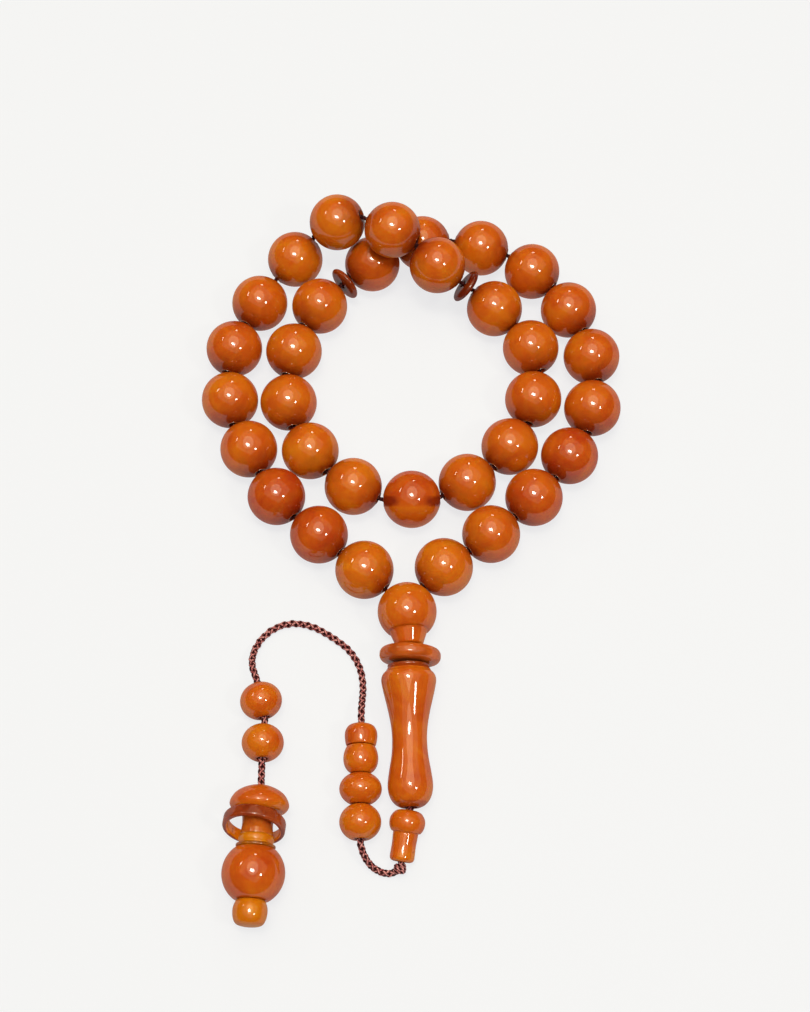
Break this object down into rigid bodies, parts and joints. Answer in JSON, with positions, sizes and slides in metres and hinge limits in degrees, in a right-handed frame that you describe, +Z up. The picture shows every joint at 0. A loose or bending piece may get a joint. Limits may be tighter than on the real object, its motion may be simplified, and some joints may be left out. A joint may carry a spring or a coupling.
{
  "type": "prayer beads",
  "caption": "Misbaha: round amber beads and separator discs on a looped cord, with a turned imam and a corded tassel of small beads, a loose ring and a finial.",
  "frame": {"origin": "on the surface the beads lie on, under the middle of the object's box measured without the tassel cord", "axes": "+Y from the tassel's finial to the far end of the loop, +X to the right of the loop seen from above with the tassel nearest, +Z up"},
  "size_m": [0.1039, 0.1806, 0.0271],
  "materials": {
    "amber": "polished, cloudy amber",
    "honey_amber": "polished, clear honey amber",
    "dark_amber": "polished, dark red-brown amber",
    "cord": "plaited marled silk cord"
  },
  "bodies": {
    "cord": {"stringing_cord": "cord", "imam_cord": "cord", "tassel_cord": "cord", "head_knot": "cord", "tail_knot": "cord", "finial_knot": "cord", "imam_head": "amber", "finial_cap": "amber", "finial_neck": "dark_amber", "finial_collar": "honey_amber", "finial_ball": "amber", "finial_tip": "honey_amber"},
    "bead_01_body": {"bead_01": "amber"},
    "bead_02_body": {"bead_02": "amber"},
    "bead_03_body": {"bead_03": "amber"},
    "bead_04_body": {"bead_04": "amber"},
    "bead_05_body": {"bead_05": "amber"},
    "bead_06_body": {"bead_06": "amber"},
    "bead_07_body": {"bead_07": "amber"},
    "bead_08_body": {"bead_08": "amber"},
    "bead_09_body": {"bead_09": "amber"},
    "bead_10_body": {"bead_10": "amber"},
    "bead_11_body": {"bead_11": "amber"},
    "bead_12_body": {"bead_12": "amber"},
    "bead_13_body": {"bead_13": "amber"},
    "bead_14_body": {"bead_14": "amber"},
    "bead_15_body": {"bead_15": "amber"},
    "bead_16_body": {"bead_16": "amber"},
    "bead_17_body": {"bead_17": "amber"},
    "bead_18_body": {"bead_18": "amber"},
    "bead_19_body": {"bead_19": "amber"},
    "bead_20_body": {"bead_20": "amber"},
    "bead_21_body": {"bead_21": "amber"},
    "bead_22_body": {"bead_22": "amber"},
    "bead_23_body": {"bead_23": "amber"},
    "bead_24_body": {"bead_24": "amber"},
    "bead_25_body": {"bead_25": "amber"},
    "bead_26_body": {"bead_26": "amber"},
    "bead_27_body": {"bead_27": "amber"},
    "bead_28_body": {"bead_28": "amber"},
    "bead_29_body": {"bead_29": "amber"},
    "bead_30_body": {"bead_30": "amber"},
    "bead_31_body": {"bead_31": "amber"},
    "bead_32_body": {"bead_32": "amber"},
    "bead_33_body": {"bead_33": "amber"},
    "separator_1_body": {"separator_1": "dark_amber"},
    "separator_2_body": {"separator_2": "dark_amber"},
    "imam_disc_body": {"imam_disc": "dark_amber"},
    "imam_body_body": {"imam_body": "amber"},
    "imam_tip_body": {"imam_tip": "amber"},
    "tassel_round_bead_body": {"tassel_round_bead": "amber"},
    "tassel_flat_bead_body": {"tassel_flat_bead": "amber"},
    "tassel_acorn_body": {"tassel_acorn": "amber"},
    "tassel_cap_body": {"tassel_cap": "amber"},
    "pair_bead_high_body": {"pair_bead_high": "amber"},
    "pair_bead_low_body": {"pair_bead_low": "amber"},
    "finial_ring_body": {"finial_ring": "dark_amber"}
  },
  "joints": [
    {"name": "ring_tilt", "type": "hinge", "parent": "cord", "child": "finial_ring_body", "pos_m": [-0.0357, -0.0673, 0.00715], "axis": [1, 0, 0], "range_deg": [0, 24]},
    {"name": "imam_disc_spin", "type": "hinge", "parent": "cord", "child": "imam_disc_body", "pos_m": [-0.0005, -0.0275, 0.00725], "axis": [-0.0498, -0.997, -0.0598], "continuous": true},
    {"name": "imam_body_spin", "type": "hinge", "parent": "cord", "child": "imam_body_body", "pos_m": [-0.0009, -0.02985, 0.007], "axis": [0.0151, -0.998, -0.0619], "continuous": true},
    {"name": "imam_tip_spin", "type": "hinge", "parent": "cord", "child": "imam_tip_body", "pos_m": [-0.00115, -0.06595, 0.0042], "axis": [-0.1503, -0.9771, -0.1503], "continuous": true},
    {"name": "tassel_round_bead_slide", "type": "slide", "parent": "cord", "child": "tassel_round_bead_body", "axis": [0, 1, 0], "range_m": [0, 0.0006]},
    {"name": "tassel_flat_bead_slide", "type": "slide", "parent": "tassel_round_bead_body", "child": "tassel_flat_bead_body", "axis": [0, 1, 0], "range_m": [0, 0.0006]},
    {"name": "tassel_acorn_slide", "type": "slide", "parent": "tassel_flat_bead_body", "child": "tassel_acorn_body", "axis": [0, 1, 0], "range_m": [0, 0.0006]},
    {"name": "tassel_cap_slide", "type": "slide", "parent": "tassel_acorn_body", "child": "tassel_cap_body", "axis": [0, 1, 0], "range_m": [0, 0.0006]},
    {"name": "pair_bead_low_slide", "type": "slide", "parent": "cord", "child": "pair_bead_low_body", "axis": [0.004, -0.9854, 0.1705], "range_m": [0, 0.0055]},
    {"name": "pair_bead_high_slide", "type": "slide", "parent": "cord", "child": "pair_bead_high_body", "axis": [0.206, -0.9785, 0], "range_m": [0, 0.0008]},
    {"name": "separator_1_spin", "type": "hinge", "parent": "cord", "child": "separator_1_body", "pos_m": [0.0136, 0.06812, 0.01131], "axis": [0.7819, -0.4037, -0.475], "continuous": true},
    {"name": "separator_2_spin", "type": "hinge", "parent": "cord", "child": "separator_2_body", "pos_m": [-0.01703, 0.0713, 0.007], "axis": [0.7356, 0.6775, 0], "continuous": true},
    {"name": "bead_01_spin", "type": "hinge", "parent": "cord", "child": "bead_01_body", "pos_m": [-0.01137, -0.00612, 0.007], "axis": [-0.7363, 0.6767, -0.0017], "continuous": true},
    {"name": "bead_02_spin", "type": "hinge", "parent": "cord", "child": "bead_02_body", "pos_m": [-0.02235, 0.00287, 0.007], "axis": [-0.7505, 0.6609, 0], "continuous": true},
    {"name": "bead_03_spin", "type": "hinge", "parent": "cord", "child": "bead_03_body", "pos_m": [-0.03281, 0.01277, 0.007], "axis": [-0.6163, 0.7875, 0], "continuous": true},
    {"name": "bead_04_spin", "type": "hinge", "parent": "cord", "child": "bead_04_body", "pos_m": [-0.03991, 0.0253, 0.007], "axis": [-0.4271, 0.9042, 0], "continuous": true},
    {"name": "bead_05_spin", "type": "hinge", "parent": "cord", "child": "bead_05_body", "pos_m": [-0.04501, 0.03856, 0.007], "axis": [-0.1628, 0.9867, 0], "continuous": true},
    {"name": "bead_06_spin", "type": "hinge", "parent": "cord", "child": "bead_06_body", "pos_m": [-0.04443, 0.05274, 0.007], "axis": [0.236, 0.9717, 0], "continuous": true},
    {"name": "bead_07_spin", "type": "hinge", "parent": "cord", "child": "bead_07_body", "pos_m": [-0.03844, 0.06561, 0.007], "axis": [0.4965, 0.868, 0.0045], "continuous": true},
    {"name": "bead_08_spin", "type": "hinge", "parent": "cord", "child": "bead_08_body", "pos_m": [-0.02976, 0.07822, 0.00714], "axis": [0.6966, 0.6339, 0.336], "continuous": true},
    {"name": "bead_09_spin", "type": "hinge", "parent": "cord", "child": "bead_09_body", "pos_m": [-0.01875, 0.0835, 0.01652], "axis": [0.8882, 0.0291, 0.4585], "continuous": true},
    {"name": "bead_10_spin", "type": "hinge", "parent": "cord", "child": "bead_10_body", "pos_m": [-0.00484, 0.07916, 0.0201], "axis": [0.9013, -0.4321, -0.0315], "continuous": true},
    {"name": "bead_11_spin", "type": "hinge", "parent": "cord", "child": "bead_11_body", "pos_m": [0.00639, 0.07157, 0.01586], "axis": [0.7939, -0.4584, -0.3994], "continuous": true},
    {"name": "bead_12_spin", "type": "hinge", "parent": "cord", "child": "bead_12_body", "pos_m": [0.02092, 0.06406, 0.00703], "axis": [0.735, -0.6343, -0.2396], "continuous": true},
    {"name": "bead_13_spin", "type": "hinge", "parent": "cord", "child": "bead_13_body", "pos_m": [0.02981, 0.05298, 0.007], "axis": [0.3401, -0.9404, -0.0013], "continuous": true},
    {"name": "bead_14_spin", "type": "hinge", "parent": "cord", "child": "bead_14_body", "pos_m": [0.03006, 0.03879, 0.007], "axis": [-0.2112, -0.9774, 0], "continuous": true},
    {"name": "bead_15_spin", "type": "hinge", "parent": "cord", "child": "bead_15_body", "pos_m": [0.02397, 0.02596, 0.007], "axis": [-0.5975, -0.8019, 0], "continuous": true},
    {"name": "bead_16_spin", "type": "hinge", "parent": "cord", "child": "bead_16_body", "pos_m": [0.01342, 0.01645, 0.007], "axis": [-0.8647, -0.5023, 0], "continuous": true},
    {"name": "bead_17_spin", "type": "hinge", "parent": "cord", "child": "bead_17_body", "pos_m": [-0.00006, 0.012, 0.007], "axis": [-0.9991, -0.0426, 0], "continuous": true},
    {"name": "bead_18_spin", "type": "hinge", "parent": "cord", "child": "bead_18_body", "pos_m": [-0.01427, 0.01538, 0.007], "axis": [-0.8867, 0.4624, 0], "continuous": true},
    {"name": "bead_19_spin", "type": "hinge", "parent": "cord", "child": "bead_19_body", "pos_m": [-0.02487, 0.02483, 0.007], "axis": [-0.5848, 0.8112, 0], "continuous": true},
    {"name": "bead_20_spin", "type": "hinge", "parent": "cord", "child": "bead_20_body", "pos_m": [-0.03048, 0.03787, 0.007], "axis": [-0.1673, 0.9859, 0], "continuous": true},
    {"name": "bead_21_spin", "type": "hinge", "parent": "cord", "child": "bead_21_body", "pos_m": [-0.02949, 0.05204, 0.007], "axis": [0.2589, 0.9659, 0], "continuous": true},
    {"name": "bead_22_spin", "type": "hinge", "parent": "cord", "child": "bead_22_body", "pos_m": [-0.02326, 0.0648, 0.007], "axis": [0.5722, 0.8201, 0], "continuous": true},
    {"name": "bead_23_spin", "type": "hinge", "parent": "cord", "child": "bead_23_body", "pos_m": [-0.01004, 0.07697, 0.007], "axis": [0.8478, 0.5303, 0], "continuous": true},
    {"name": "bead_24_spin", "type": "hinge", "parent": "cord", "child": "bead_24_body", "pos_m": [0.00283, 0.08297, 0.007], "axis": [0.9854, 0.1705, 0], "continuous": true},
    {"name": "bead_25_spin", "type": "hinge", "parent": "cord", "child": "bead_25_body", "pos_m": [0.01776, 0.08157, 0.007], "axis": [0.9585, -0.2852, 0], "continuous": true},
    {"name": "bead_26_spin", "type": "hinge", "parent": "cord", "child": "bead_26_body", "pos_m": [0.03068, 0.07476, 0.007], "axis": [0.7721, -0.6356, 0], "continuous": true},
    {"name": "bead_27_spin", "type": "hinge", "parent": "cord", "child": "bead_27_body", "pos_m": [0.03959, 0.06371, 0.007], "axis": [0.5063, -0.8624, 0], "continuous": true},
    {"name": "bead_28_spin", "type": "hinge", "parent": "cord", "child": "bead_28_body", "pos_m": [0.0449, 0.05054, 0.007], "axis": [0.1793, -0.9838, 0], "continuous": true},
    {"name": "bead_29_spin", "type": "hinge", "parent": "cord", "child": "bead_29_body", "pos_m": [0.04458, 0.03634, 0.007], "axis": [-0.2303, -0.9731, 0], "continuous": true},
    {"name": "bead_30_spin", "type": "hinge", "parent": "cord", "child": "bead_30_body", "pos_m": [0.0385, 0.0235, 0.007], "axis": [-0.5344, -0.8452, 0], "continuous": true},
    {"name": "bead_31_spin", "type": "hinge", "parent": "cord", "child": "bead_31_body", "pos_m": [0.02951, 0.01251, 0.007], "axis": [-0.6893, -0.7245, 0], "continuous": true},
    {"name": "bead_32_spin", "type": "hinge", "parent": "cord", "child": "bead_32_body", "pos_m": [0.01898, 0.00299, 0.007], "axis": [-0.774, -0.6332, 0], "continuous": true},
    {"name": "bead_33_spin", "type": "hinge", "parent": "cord", "child": "bead_33_body", "pos_m": [0.00756, -0.00545, 0.007], "axis": [-0.7176, -0.6965, 0.0018], "continuous": true}
  ]
}
